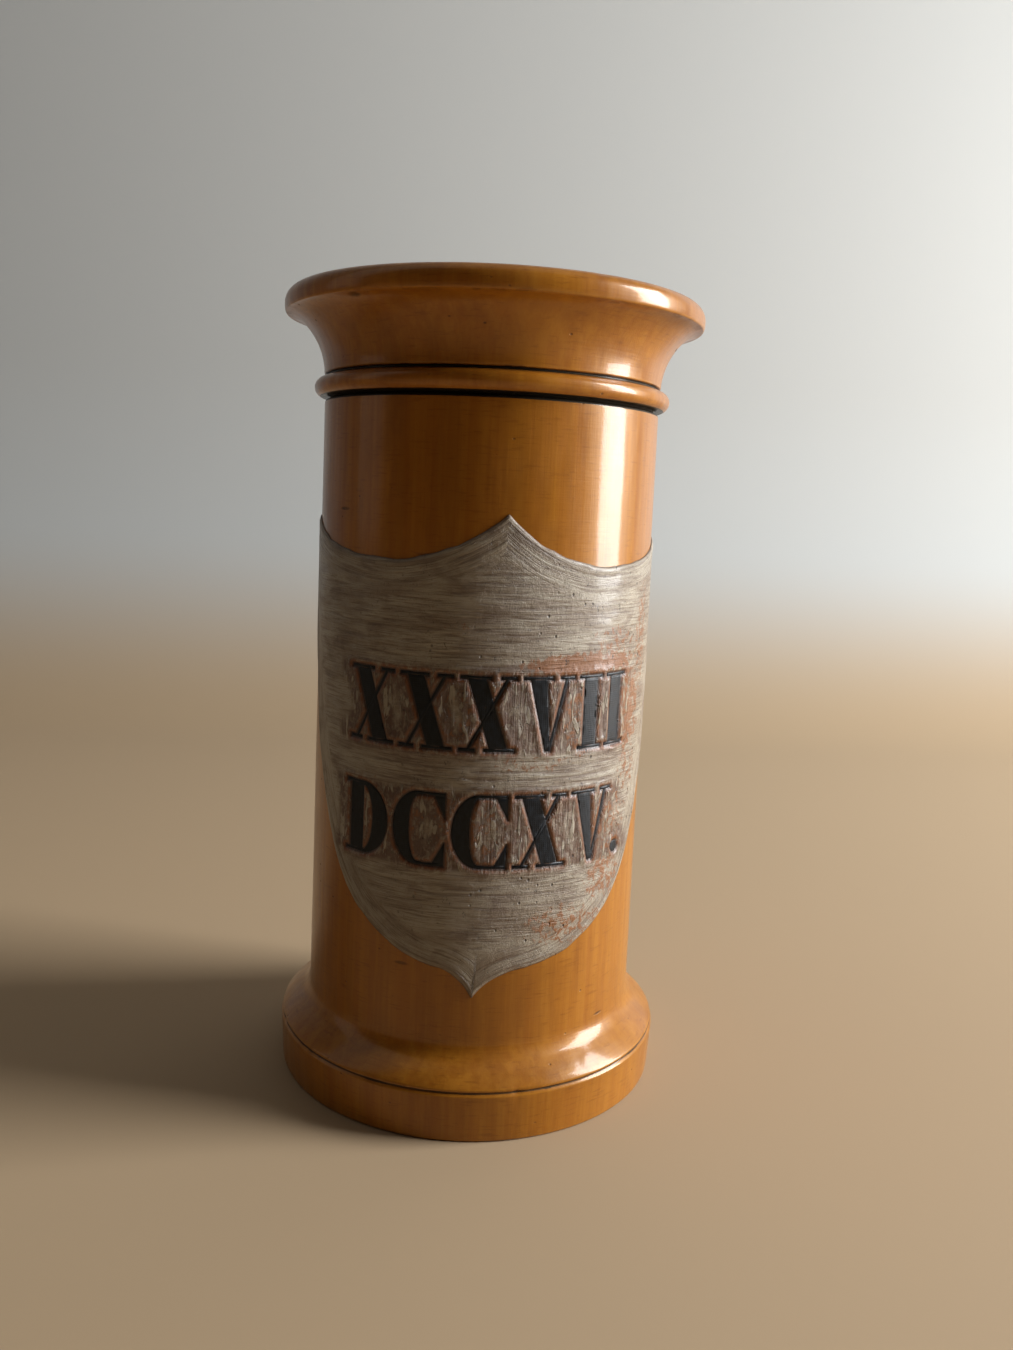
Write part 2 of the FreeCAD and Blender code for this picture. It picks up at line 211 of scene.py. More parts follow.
def new_piece(name, places, faces, material, body, slot, nodes, **values):
    """A smooth-shaded mesh of places in millimetres, with one point attribute per value."""
    mesh = bpy.data.meshes.new(name)
    mesh.from_pydata((places * MM).tolist(), [], faces)
    mesh.polygons.foreach_set("use_smooth", np.ones(len(mesh.polygons), bool))
    for title, value in values.items():
        if value.ndim == 1:
            mesh.attributes.new(title, "FLOAT", "POINT").data.foreach_set(
                "value", value.astype(np.float32))
        else:
            mesh.attributes.new(title, "FLOAT_VECTOR", "POINT").data.foreach_set(
                "vector", value.astype(np.float32).ravel())
    mesh.materials.append(material)
    mesh.validate()
    mesh.update()
    piece = bpy.data.objects.new(name, mesh)
    bpy.context.scene.collection.objects.link(piece)
    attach(piece, body)
    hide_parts(*nodes)
    return piece


def turning_dents(angle, height, marks):
    """Depth pressed into the surface by each mark (degrees, height, width, tall, depth)."""
    depth = np.zeros_like(angle)
    for degrees, level, width, tall, deep in marks:
        aside = (angle - math.radians(degrees) + math.pi) % (2 * math.pi) - math.pi
        depth += deep * np.exp(-(aside * 45 / width) ** 2 - ((height - level) / tall) ** 2)
    return depth


def turned_piece(name, points, rows, marks, material, body, nodes):
    """A turning: every outline point carried round the lathe axis.

    A place is (r sin a, -r cos a, z), where r is the outline's radius less the dents and
    a slow waver of a few hundredths of a millimetre. The two points on the axis are one
    vertex each, so the skin is closed. One attribute is high where the outline turns
    tightly inwards, at the joint, in the groove and under the rim lip: the finish darkens
    those places as painted shade with some grime, and the joint as a near-black painted
    shadow gap. crest is high on its sharp edges, which the finish lightens as rubbed wear
    and as a painted highlight.
    """
    kept, bend = thinned(worn(points), rows)
    ring, bends = kept[1:-1], bend[1:-1]
    angle = np.linspace(0, 2 * math.pi, AROUND, endpoint=False)
    a, r = np.meshgrid(angle, ring[:, 0])
    z = np.repeat(ring[:, 1][:, None], AROUND, 1)
    waver = 0.035 * cloud(a / (2 * math.pi) * 14, z / 9, 5, 14)
    waver += 0.02 * cloud(a / (2 * math.pi) * 48, z / 3, 6, 48)
    skin = smooth_step(39.5, 41.0, r)
    r = r + skin * (waver - turning_dents(a, z, marks) - 0.03)
    places = np.stack((r * np.sin(a), -r * np.cos(a), z), -1).reshape(-1, 3)
    places = np.concatenate((places, ((0, 0, kept[0, 1]), (0, 0, kept[-1, 1]))))
    count = len(ring)
    below = np.arange(count - 1)[:, None] * AROUND
    here = np.arange(AROUND)[None]
    after = (here + 1) % AROUND
    quads = np.stack((below + here, below + after, below + after + AROUND,
                      below + here + AROUND), -1).reshape(-1, 4).tolist()
    first, last = count * AROUND, count * AROUND + 1
    top = (count - 1) * AROUND
    fans = [(first, (k + 1) % AROUND, k) for k in range(AROUND)]
    fans += [(last, top + k, top + (k + 1) % AROUND) for k in range(AROUND)]
    radius, level = ring.T
    outside = smooth_step(40.6, 41.0, radius)
    # Painted shade with some grime: tight inward turns, the lid joint, the groove above the bead
    # and the underside of the rim lip get a dark value; at the joint it is strong enough to paint a
    # near-black shadow gap.
    joint = smooth_step(SHOULDER - 0.75, SHOULDER - 0.5, level) * smooth_step(174.0, 173.75, level)
    quirk = smooth_step(178.3, 178.55, level) * smooth_step(179.5, 179.2, level)
    lip = smooth_step(192.7, 193.2, level) * smooth_step(193.5, 193.42, level)
    tight = smooth_step(0.32, 0.9, -bends)
    shade_and_grime = 0.8 * tight + 1.3 * joint + 0.5 * quirk + 0.3 * lip
    hollow = np.repeat((outside * np.clip(shade_and_grime, 0, 1.4))[:, None], AROUND, 1).ravel()
    # Sharp outward edges: the finish lightens them, partly as rubbed wear and partly as a painted
    # highlight.
    sharp = smooth_step(0.25, 1.0, bends)
    crest = np.repeat((outside * sharp)[:, None], AROUND, 1).ravel()
    return new_piece(name, places, quads + fans, material, body, "wood", nodes,
                     hollow=np.r_[hollow, 0, 0], crest=np.r_[crest, 0, 0])


# ---------------------------------------------------------------- shield and numerals
# The painted front is laid out flat, u millimetres round the wall from its middle by z
# millimetres up, and then wrapped on the wall.


def wall_radius(z):
    """The wall tapers evenly from its foot to its shoulder."""
    along = (z - WALL_FOOT[1]) / (WALL_TOP[1] - WALL_FOOT[1])
    return WALL_FOOT[0] + along * (WALL_TOP[0] - WALL_FOOT[0])


def wrapped(u, z, lift):
    """Flat (u, z) rolled on the wall and lifted off it by lift millimetres."""
    angle = u / FLAT_RADIUS
    radius = wall_radius(z) + lift
    return np.stack((radius * np.sin(angle), -radius * np.cos(angle), z), -1)


SHIELD_HALF = (
    arc((0, 32.8), (11.3, 40.3), 14.0, -1),
    arc((11.3, 40.3), (45.0, 67.5), 48.0, 1, 30),
    arc((45.0, 67.5), (65.0, 144.5), 190.0, 1, 40),
)
SHIELD_HEAD = (
    arc((0, 147.3), (27.0, 136.0), 39.0, 1, 24),
    arc((27.0, 136.0), (65.0, 144.5), 91.0, 1, 30),
)


def lean(u, z):
    """The hand-drawn shield's point wanders to the left and its peak to the right."""
    return u + 1.5 * smooth_step(134, 148, z) - 2.6 * smooth_step(48, 32, z)


def shield_edge(side):
    """One side of the outline, from the point round to the peak, as a run of flat points; side -1
    mirrors it.
    """
    low = np.concatenate(SHIELD_HALF)
    high = np.concatenate(SHIELD_HEAD)[::-1]
    right = np.concatenate((low, high))
    return np.stack((right[:, 0] * side, right[:, 1]), 1)


def gap_to_runs(points, runs):
    """Least distance from each point to any of the straight runs (start, end).

    Also how far along the runs, laid end to end, the nearest place is.
    """
    start, end = runs[:, 0], runs[:, 1]
    along = end - start
    length = np.maximum(np.linalg.norm(along, axis=1), 1e-6)
    nearest = np.full(len(points), 1e9)
    travelled = np.zeros(len(points))
    for begin, step, size, before in zip(start, along, length, np.cumsum(length) - length):
        offset = points - begin
        share = np.clip(offset @ step / size**2, 0, 1)
        gap = np.hypot(*(offset - share[:, None] * step).T)
        travelled = np.where(gap < nearest, before + share * size, travelled)
        nearest = np.minimum(nearest, gap)
    return nearest, travelled


def inside(points, corners):
    """True where a point's level line crosses the polygon's edges an odd number of times."""
    odd = np.zeros(len(points), bool)
    x, y = points.T
    for (x1, y1), (x2, y2) in zip(corners, np.roll(corners, -1, 0)):
        if y1 == y2:
            continue
        crosses = (y1 > y) != (y2 > y)
        odd ^= crosses & (x < (x2 - x1) * (y - y1) / (y2 - y1) + x1)
    return odd


STEM = 4.1
HAIR = 0.7
SERIF = 1.5
CAP = 17.6
WIDE = 12.9
BEAK = (3.0, 5.8)
STOP = 1.5
GAP = 1.6


def bar(left, right, low, high):
    """Upright rectangle."""
    return np.array(((left, low), (right, low), (right, high), (left, high)), float)


def stroke(low_x, low_width, high_x, high_width):
    """Slanting stroke from the line to the cap height."""
    return np.array(((low_x, 0), (low_x + low_width, 0), (high_x + high_width, CAP),
                     (high_x, CAP)), float)


def bowl(centre, half_width, first, last, steps=28):
    """Part of an oval ring, thick at its sides and hairline at its top and foot."""
    turn = np.radians(np.linspace(first, last, steps))
    outer = np.stack((centre + half_width * np.cos(turn),
                      CAP / 2 + CAP / 2 * np.sin(turn)), 1)
    inner = np.stack((centre + (half_width - STEM) * np.cos(turn),
                      CAP / 2 + (CAP / 2 - HAIR) * np.sin(turn)), 1)
    return np.concatenate((outer, inner[::-1]))


def numeral_strokes(sign):
    """The painted strokes of one numeral and its width."""
    if sign == "I":
        width = STEM + 2 * SERIF
        return [bar(SERIF, SERIF + STEM, 0, CAP), bar(0, width, 0, HAIR),
                bar(0, width, CAP - HAIR, CAP)], width
    if sign == "V":
        foot = WIDE / 2 - HAIR
        return [stroke(foot, 2 * HAIR, SERIF, STEM),
                stroke(foot + HAIR, HAIR, WIDE - SERIF - HAIR, HAIR),
                bar(0, STEM + 2 * SERIF, CAP - HAIR, CAP),
                bar(WIDE - 2 * SERIF - HAIR, WIDE, CAP - HAIR, CAP)], WIDE
    if sign == "X":
        return [stroke(WIDE - SERIF - STEM, STEM, SERIF, STEM),
                stroke(SERIF, HAIR, WIDE - SERIF - HAIR, HAIR),
                bar(0, 2 * SERIF + HAIR, 0, HAIR),
                bar(WIDE - 2 * SERIF - STEM, WIDE, 0, HAIR),
                bar(0, 2 * SERIF + STEM, CAP - HAIR, CAP),
                bar(WIDE - 2 * SERIF - HAIR, WIDE, CAP - HAIR, CAP)], WIDE
    if sign == "C":
        middle, beak = WIDE / 2, WIDE - BEAK[0]
        return [bowl(middle, middle, 90, 270), bar(middle, WIDE, CAP - HAIR, CAP),
                bar(middle, WIDE, 0, HAIR),
                np.array(((beak, CAP), (WIDE, CAP - BEAK[1]), (WIDE, CAP))),
                np.array(((beak, 0), (WIDE, 0), (WIDE, BEAK[1])))], WIDE
    if sign == "D":
        edge = SERIF + STEM
        return [bowl(edge, WIDE - edge, -90, 90), bar(SERIF, edge, 0, CAP),
                bar(0, edge, 0, HAIR), bar(0, edge, CAP - HAIR, CAP)], WIDE
    turn = np.linspace(0, 2 * math.pi, 24, endpoint=False)
    return [STOP + STOP * np.stack((np.cos(turn), np.sin(turn)), 1)], 2 * STOP


def numeral_row(text, base):
    """Every stroke of a row, centred on the front, as flat polygons."""
    drawn = [numeral_strokes(sign) for sign in text]
    cursor = -(sum(width for _, width in drawn) + GAP * (len(text) - 1)) / 2
    polygons = []
    for strokes, width in drawn:
        polygons += [points + (cursor, base) for points in strokes]
        cursor += width + GAP
    return polygons


ROWS = {
    "numerals_upper": numeral_row("XXXVII", 93.0),
    "numerals_lower": numeral_row("DCCXV.", 65.1),
}


def gap_to_ink(points):
    """Distance to the nearest numeral, and 0 on it."""
    polygons = [shape for row in ROWS.values() for shape in row]
    runs = np.concatenate([np.stack((p, np.roll(p, -1, 0)), 1) for p in polygons])
    gap, _ = gap_to_runs(points, runs)
    for corners in polygons:
        gap[inside(points, corners)] = 0
    return gap


UPPER_ROW_MIDDLE = 101.8
LOWER_ROW_MIDDLE = 73.9


def between_numerals(z, gap):
    """1 in the upright strokes between the numerals of a row and 0 away from them."""
    in_row = np.maximum(smooth_step(10.2, 8.6, np.abs(z - UPPER_ROW_MIDDLE)),
                        smooth_step(10.2, 8.6, np.abs(z - LOWER_ROW_MIDDLE)))
    return in_row * smooth_step(5.5, 3.0, gap)


def beside_outline(rim):
    """1 where the strokes follow the shield's outline and 0 well inside it."""
    return smooth_step(9.5, 4.5, rim)


WORN = (
    (24, 113.4, 17, 2.6, 1.0),
    (33, 118.5, 9, 4.0, 0.5),
    (40, 101, 6, 11, 0.75),
    (22, 100, 6, 9, 0.5),
    (41, 86, 5, 7, 0.5),
    (33, 74, 7, 8, 0.5),
    (-4, 74, 8, 9, 0.45),
    (-20, 76, 5, 6, 0.4),
    (-6, 100, 6, 9, 0.35),
    (20, 50, 12, 5, 0.55),
    (32, 60, 7, 6, 0.6),
    (46, 118, 4, 14, 0.55),
    (10, 90, 12, 2, 0.4),
    (-8, 121, 4, 2, 0.3),
)


def brush_ridges(along, across, seed):
    """Ridges a stiff brush leaves: long along the stroke and a millimetre or so across."""
    broad = cloud(along / 13 + 30, across / 1.5, seed)
    return 0.05 * broad + 0.03 * cloud(along / 7, across / 0.8, seed + 1)


def worn_through(u, z):
    """How far the ground is rubbed away: ragged ovals in the places most handled."""
    worn = np.zeros_like(u)
    for across, up, wide, tall, strength in WORN:
        reach = ((u - across) / wide) ** 2 + ((z - up) / tall) ** 2
        worn = np.maximum(worn, strength * smooth_step(1.9, 0.2, reach))
    return worn


def film_height(u, z, rim, travelled, gap):
    """Thickness of the ground paint.

    A level coat, plus slow lumps, plus the ridges the brush left, plus a bead along the
    outline and a bank pushed up round each numeral, less the bed that each numeral lies
    in and what is rubbed away. It thins to a third at the outline.
    """
    drift = 1.6 * cloud(u / 15, z / 9, 10)
    ridges = brush_ridges(u, z + drift, 11)
    ridges += (brush_ridges(z, u + drift, 13) - ridges) * between_numerals(z, gap)
    ridges += (brush_ridges(travelled, rim + 0.5 * drift, 23) - ridges) * beside_outline(rim)
    lumps = 0.06 * cloud(u / 6, z / 5, 15) + 0.035 * cloud(u / 2.2, z / 1.8, 16)
    bead = 0.13 * np.exp(-((rim - 1.0) / 0.6) ** 2) * (0.75 + 0.4 * cloud(u / 7, z / 7, 17))
    bank = 0.20 * np.exp(-((gap - 1.15) / 0.75) ** 2) * (0.8 + 0.5 * cloud(u / 3, z / 4, 18))
    worn = worn_through(u, z) * smooth_step(-0.2, 0.3, cloud(u / 2.6, z / 2.2, 19))
    coat = PAINT + 0.15 + ridges + lumps + bead + bank - 0.10 * worn
    bed = PAINT - 0.10
    coat = bed + (coat - bed) * smooth_step(0.05, 0.62, gap)
    return coat * (0.34 + 0.66 * smooth_step(0, 0.55, rim))


def uneven_steps(low, high, fine_low, fine_high, coarse, fine):
    """Grid lines from low to high, fine apart between fine_low and fine_high."""
    parts = ((low, fine_low, coarse), (fine_low, fine_high, fine), (fine_high, high, coarse))
    lines = [np.linspace(a, b, max(2, int(round((b - a) / step))), endpoint=False)
             for a, b, step in parts]
    return np.r_[np.concatenate(lines), high]


def shield_piece(material):
    """The raised film of ground paint.

    Column u of the grid runs from the lower outline to the upper one, with t as the
    share of the way up, and the film's height lifts each place off the wall. The back is
    one strip of faces on the wall, joined to the front by a skirt.
    """
    low_edge = np.concatenate(SHIELD_HALF)
    high_edge = np.concatenate(SHIELD_HEAD)
    columns = uneven_steps(-64.9, 64.9, -41.5, 41.5, 0.8, 0.30)
    low = np.interp(np.abs(columns), low_edge[:, 0], low_edge[:, 1])
    high = np.interp(np.abs(columns), high_edge[:, 0], high_edge[:, 1])
    shares = uneven_steps(0, 1, 0.24, 0.74, 0.0075, 0.0031)
    u, t = np.meshgrid(columns, shares, indexing="ij")
    z = low[:, None] + (high - low)[:, None] * t
    u = lean(u, z)
    ragged = 0.22 * cloud(u / 3.1, z / 3.1, 21) * (1 - smooth_step(0, 3, np.minimum(t, 1 - t) * 60))
    z = z + ragged
    flat = np.stack((u.ravel(), z.ravel()), 1)
    edge = np.concatenate((shield_edge(1), shield_edge(-1)[::-1]))
    edge[:, 0] = lean(edge[:, 0], edge[:, 1])
    rim, travelled = gap_to_runs(flat, np.stack((edge[:-1], edge[1:]), 1))
    gap = gap_to_ink(flat)
    lift = film_height(flat[:, 0], flat[:, 1], rim, travelled, gap)
    front = wrapped(flat[:, 0], flat[:, 1], lift)
    wide, tall = u.shape
    index = np.arange(wide * tall).reshape(wide, tall)
    back_flat = np.concatenate((flat[index[:, 0]], flat[index[:, -1]]))
    back = wrapped(back_flat[:, 0], back_flat[:, 1], np.full(2 * wide, -0.02))
    foot = wide * tall + np.arange(wide)
    head = foot + wide
    sheet = np.stack((index[:-1, :-1], index[1:, :-1], index[1:, 1:], index[:-1, 1:]), -1)
    faces = sheet.reshape(-1, 4).tolist()
    faces += np.stack((foot[:-1], foot[1:], index[1:, 0], index[:-1, 0]), -1).tolist()
    faces += np.stack((index[:-1, -1], index[1:, -1], head[1:], head[:-1]), -1).tolist()
    faces += np.stack((foot[1:], foot[:-1], head[:-1], head[1:]), -1).tolist()
    faces.append([foot[0], *index[0], head[0]][::-1])
    faces.append([foot[-1], *index[-1], head[-1]])
    extra = np.zeros(2 * wide)
    layout = np.concatenate((flat, back_flat))
    return new_piece(
        "shield_ground", np.concatenate((front, back)), faces, material, "jar",
        "ground_paint", ("shield_paint",),
        flat=np.column_stack((layout, np.r_[rim, extra])),
        gap=np.r_[gap, extra + 5],
        travelled=np.r_[travelled, extra],
        turn=np.r_[between_numerals(flat[:, 1], gap), extra],
        worn=np.r_[worn_through(flat[:, 0], flat[:, 1]), extra])


def ink_piece(name, polygons, material):
    """One row of numerals as raised black paint.

    The overlapping strokes are cut into triangles together with a grid of inner points,
    so that their union follows the wall. Each place is wrapped at the height of the bed
    plus the coat, thinner at its edge, and a skirt carries the edge down into the ground.
    """
    corners = np.concatenate(polygons)
    starts = np.cumsum([0] + [len(p) for p in polygons[:-1]])
    faces = [list(range(s, s + len(p))) for s, p in zip(starts, polygons)]
    low, high = corners.min(0), corners.max(0)
    gx, gz = np.meshgrid(np.arange(low[0] + 0.2, high[0], 0.55),
                         np.arange(low[1] + 0.27, high[1], 0.55))
    points = np.stack((gx.ravel(), gz.ravel()), 1)
    within = np.zeros(len(points), bool)
    for shape in polygons:
        within |= inside(points, shape)
    points = points[within]
    cut = delaunay_2d_cdt([Vector(p) for p in np.concatenate((corners, points))],
                          [], faces, 1, 1e-4)
    flat = np.array(cut[0])
    triangles = np.array(cut[2])
    flat = flat + 0.07 * np.stack((cloud(flat[:, 0] / 1.7, flat[:, 1] / 1.7, 31),
                                   cloud(flat[:, 0] / 1.7, flat[:, 1] / 1.7, 32)), 1)
    sides = np.concatenate((triangles[:, :2], triangles[:, 1:], triangles[:, [2, 0]]))
    keys = {tuple(pair) for pair in sides.tolist()}
    border = np.array([pair for pair in keys if pair[::-1] not in keys])
    at_edge = np.zeros(len(flat), bool)
    at_edge[border.ravel()] = True
    lift = PAINT - 0.045 + 0.012 * cloud(flat[:, 0] / 1.1, flat[:, 1] / 1.1, 33)
    lift = np.where(at_edge, PAINT - 0.07, lift)
    front = wrapped(flat[:, 0], flat[:, 1], lift)
    back = wrapped(flat[:, 0], flat[:, 1], np.full(len(flat), 0.02))
    count = len(flat)
    skirt = np.stack((border[:, 1], border[:, 0], border[:, 0] + count,
                      border[:, 1] + count), -1)
    everything = triangles.tolist() + (triangles[:, ::-1] + count).tolist() + skirt.tolist()
    layout = np.column_stack((flat, np.zeros(count)))
    return new_piece(name + "_ink", np.concatenate((front, back)), everything, material,
                     "jar", "black_paint", (name,), flat=np.concatenate((layout, layout)))


# ---------------------------------------------------------------- finishes


class Finish:
    """A material being mixed: each call adds one shader node and returns its output."""

    def __init__(self, name):
        self.material = bpy.data.materials.new(name)
        self.material.use_nodes = True
        self.tree = self.material.node_tree
        self.shader = self.tree.nodes["Principled BSDF"]

    def node(self, kind, inputs, **settings):
        made = self.tree.nodes.new(kind)
        for key, value in settings.items():
            setattr(made, key, value)
        for key, value in inputs.items():
            if isinstance(value, bpy.types.NodeSocket):
                self.tree.links.new(value, made.inputs[key])
            elif value is not None:
                made.inputs[key].default_value = value
        return made

    def places(self):
        return self.node("ShaderNodeTexCoord", {}).outputs["Object"]

    def attribute(self, name, output="Fac"):
        return self.node("ShaderNodeAttribute", {}, attribute_name=name).outputs[output]

    def stretched(self, vector, scale, move=(0, 0, 0), turn=(0, 0, 0)):
        return self.node("ShaderNodeMapping", {
            "Vector": vector, "Scale": scale, "Location": move, "Rotation": turn,
        }).outputs[0]

    def noise(self, vector, scale=1.0, detail=3.0, roughness=0.5, distortion=0.0):
        return self.node("ShaderNodeTexNoise", {
            "Vector": vector, "Scale": scale, "Detail": detail, "Roughness": roughness,
            "Distortion": distortion}).outputs["Fac"]

    def spots(self, vector, scale, size, share, seed_shift):
        """Small round spots: 1 in the middle of a chosen share of the cells, 0 outside."""
        cells = self.node("ShaderNodeTexVoronoi", {
            "Vector": self.stretched(vector, (scale,) * 3, (seed_shift,) * 3),
            "Scale": 1.0, "Randomness": 1.0})
        chosen = self.sums("GREATER_THAN", self.node(
            "ShaderNodeSeparateColor", {"Color": cells.outputs["Color"]}).outputs[0],
            1 - share)
        near = self.between(cells.outputs["Distance"], size, size * 0.4)
        return self.sums("MULTIPLY", near, chosen)

    def between(self, value, low, high, first=0.0, last=1.0):
        return self.node("ShaderNodeMapRange", {
            "Value": value, "From Min": low, "From Max": high, "To Min": first,
            "To Max": last}, interpolation_type="SMOOTHSTEP").outputs[0]

    def sums(self, operation, first, second=0.5):
        made = self.node("ShaderNodeMath", {}, operation=operation)
        for socket, value in zip(made.inputs, (first, second)):
            if isinstance(value, bpy.types.NodeSocket):
                self.tree.links.new(value, socket)
            else:
                socket.default_value = value
        return made.outputs[0]

    def blend(self, share, first, second, mode="MIX"):
        made = self.node("ShaderNodeMix", {}, data_type="RGBA", blend_type=mode)
        for index, value in ((0, share), (6, first), (7, second)):
            socket = made.inputs[index]
            if isinstance(value, bpy.types.NodeSocket):
                self.tree.links.new(value, socket)
            else:
                socket.default_value = value if index == 0 else (*value, 1.0)
        return made.outputs[2]

    def relief(self, height, depth, strength=1.0, normal=None):
        return self.node("ShaderNodeBump", {
            "Height": height, "Distance": depth, "Strength": strength,
            "Normal": normal}).outputs[0]

    def finish(self, colour, roughness, normal, **constants):
        self.tree.links.new(colour, self.shader.inputs["Base Color"])
        self.tree.links.new(roughness, self.shader.inputs["Roughness"])
        self.tree.links.new(normal, self.shader.inputs["Normal"])
        for key, value in constants.items():
            self.shader.inputs[key.replace("_", " ")].default_value = value
        return self.material


DEEP_AMBER = (0.130, 0.031, 0.002)
AMBER = (0.275, 0.080, 0.004)
HONEY = (0.44, 0.180, 0.018)
GRIME_AND_SHADE_BROWN = (0.016, 0.007, 0.003)


def polished_fruitwood():
    """Close-grained wood under old shellac.

    Soft upright streaks, slow growth bands about an off-centre heart, short level ray
    flecks, cloudy patina and a few dark specks make the colour, and faces that look up
    show the rings of the end grain. Grooves, tight inward turns and the lid joint are
    darkened with painted shade and some grime, the joint gap painted near black as a
    shadow, and sharp edges are lightened, partly as rubbed wear and partly as a painted
    highlight. The relief is grain, flecks, faint tool rings and a slow unevenness.
    """
    mix = Finish("polished_fruitwood")
    place = mix.places()
    wander = mix.noise(mix.stretched(place, (34, 34, 8)), detail=3)
    streaks = mix.noise(mix.stretched(place, (420, 420, 9)), detail=5, roughness=0.6,
                        distortion=0.3)
    fibres = mix.noise(mix.stretched(place, (2300, 2300, 60)), detail=3, roughness=0.6)
    bands = mix.node("ShaderNodeTexWave", {
        "Vector": mix.stretched(place, (1, 1, 0.16), (0.031, -0.052, 0), (0.05, -0.04, 0)),
        "Scale": 48.0, "Distortion": 5.0, "Detail": 3.0, "Detail Scale": 9.0,
        "Detail Roughness": 0.6}, wave_type="RINGS", rings_direction="Z").outputs["Fac"]
    patina = mix.noise(place, scale=30, detail=5, roughness=0.6, distortion=0.6)
    rays = mix.noise(mix.stretched(place, (230, 230, 2100)), detail=3, roughness=0.55)
    colour = mix.blend(mix.between(streaks, 0.30, 0.72, 0.25, 0.65), AMBER, HONEY)
    facing_up = mix.node("ShaderNodeSeparateXYZ", {"Vector": mix.node(
        "ShaderNodeTexCoord", {}).outputs["Normal"]}).outputs[2]
    end_grain = mix.between(facing_up, 0.85, 0.98)
    rings = mix.sums("MULTIPLY", mix.between(bands, 0.1, 1.0),
                     mix.between(end_grain, 0.0, 1.0, 0.16, 0.60))
    colour = mix.blend(rings, colour, DEEP_AMBER)
    clouds = mix.sums("MULTIPLY", mix.between(patina, 0.46, 0.74),
                      mix.between(end_grain, 0.0, 1.0, 0.40, 0.12))
    colour = mix.blend(clouds, colour, DEEP_AMBER)
    colour = mix.blend(mix.between(wander, 0.50, 0.80, 0.0, 0.35), colour, HONEY)
    colour = mix.blend(mix.between(fibres, 0.54, 0.80, 0.0, 0.16), colour, DEEP_AMBER)
    colour = mix.blend(mix.between(rays, 0.55, 0.72, 0.0, 0.34), colour, DEEP_AMBER)
    dashes = mix.spots(mix.stretched(place, (0.42, 0.42, 1.9)), 150, 0.16, 0.15, 3.1)
    nicks = mix.spots(mix.stretched(place, (1, 1, 1.6)), 260, 0.13, 0.16, 8.4)
    marks = mix.sums("MULTIPLY", mix.sums("MAXIMUM", dashes, nicks),
                     mix.between(patina, 0.35, 0.6, 0.25, 1.0))
    colour = mix.blend(mix.sums("MULTIPLY", marks, 0.8), colour, GRIME_AND_SHADE_BROWN)
    crest = mix.between(mix.attribute("crest"), 0.22, 1.0)
    rubs = mix.between(mix.noise(mix.stretched(place, (150, 150, 500)), detail=5,
                                 roughness=0.65), 0.50, 0.62)
    # Sharp edges lightened towards honey: partly rubbed wear, partly a painted highlight.
    colour = mix.blend(mix.sums("MULTIPLY", crest, 0.30), colour, HONEY)
    colour = mix.blend(mix.sums("MULTIPLY", mix.sums("MULTIPLY", crest, rubs), 0.30),
                       colour, DEEP_AMBER)
    # Painted shade with some grime in tight inward turns, grooves, under the rim lip and at the lid
    # joint.
    shade_and_grime = mix.sums("ADD", mix.attribute("hollow"), mix.between(rubs, 0.0, 1.0, -0.12, 0.12))
    hollow = mix.between(shade_and_grime, 0.22, 0.80)
    colour = mix.blend(mix.sums("MULTIPLY", hollow, 0.93), colour, GRIME_AND_SHADE_BROWN)
    # Near-black painted shadow in the gap at the lid joint.
    colour = mix.blend(mix.between(shade_and_grime, 0.85, 1.15), colour, (0.003, 0.002, 0.0015))
    smears = mix.noise(mix.stretched(place, (70, 70, 30)), detail=5, roughness=0.65)
    roughness = mix.between(smears, 0.3, 0.75, 0.30, 0.46)
    roughness = mix.sums("ADD", roughness, mix.sums("MULTIPLY", marks, 0.3))
    roughness = mix.sums("ADD", roughness, mix.sums("MULTIPLY", hollow, 0.3))
    tool_rings = mix.noise(mix.stretched(place, (5, 5, 1700)), detail=3, roughness=0.6)
    swell = mix.noise(mix.stretched(place, (110, 110, 30)), detail=2)
    normal = mix.relief(swell, 0.00030, 0.5)
    normal = mix.relief(streaks, 0.00010, 0.35, normal)
    normal = mix.relief(fibres, 0.00004, 0.5, normal)
    normal = mix.relief(tool_rings, 0.00006, 0.5, normal)
    normal = mix.relief(rays, 0.00004, 0.5, normal)
    normal = mix.relief(mix.sums("SUBTRACT", 1.0, marks), 0.00012, 0.8, normal)
    return mix.finish(colour, roughness, normal, Coat_Weight=0.4, Coat_Roughness=0.11,
                      Coat_IOR=1.5, IOR=1.5, Specular_Tint=(1.0, 0.72, 0.42, 1.0))


GROUND_PALE = (0.38, 0.325, 0.245)
GROUND_MID = (0.245, 0.187, 0.130)
GROUND_BROWN = (0.105, 0.058, 0.032)
MAUVE_GLAZE = (0.105, 0.050, 0.028)
BARE_WOOD = (0.23, 0.078, 0.014)
PIT = (0.022, 0.013, 0.009)


